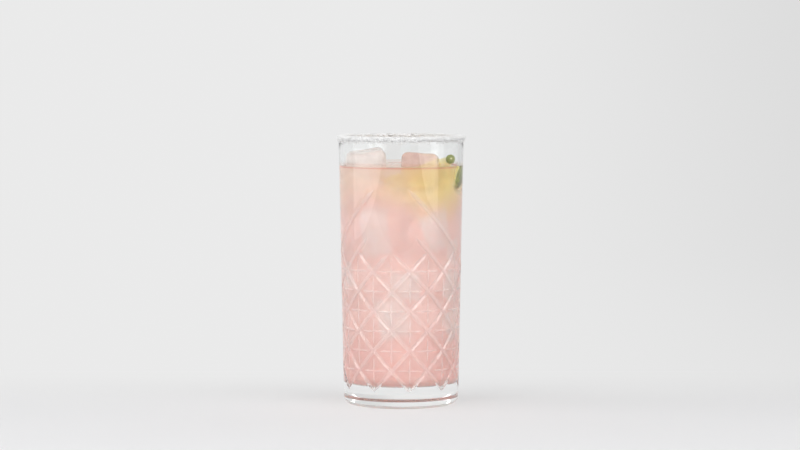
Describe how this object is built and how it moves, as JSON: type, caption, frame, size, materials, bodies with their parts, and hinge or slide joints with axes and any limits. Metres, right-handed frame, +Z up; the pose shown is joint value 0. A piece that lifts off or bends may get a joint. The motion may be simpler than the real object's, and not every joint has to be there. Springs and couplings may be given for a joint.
{
  "type": "paloma in cut glass tumbler",
  "caption": "Tall cut-glass tumbler of cloudy pink grapefruit drink with ice cubes, a lime wedge and a salted rim.",
  "frame": {"origin": "centre of the foot ring's resting face", "axes": "+Z up along the tumbler's axis, -Y the front"},
  "size_m": [0.0704, 0.0704, 0.1471],
  "materials": {
    "glass": "clear pressed glass, polished, with V-shaped cuts",
    "drink": "cloudy pink liquid, slightly see-through",
    "ice": "clear wet ice",
    "lime": "wet citrus flesh with green peel",
    "salt": "coarse white crystals"
  },
  "bodies": {
    "root": {"glass": "glass", "drink": "drink", "ice_left": "ice", "ice_right": "ice", "lime_wedge": "lime", "salt_rim": "salt"}
  },
  "joints": []
}
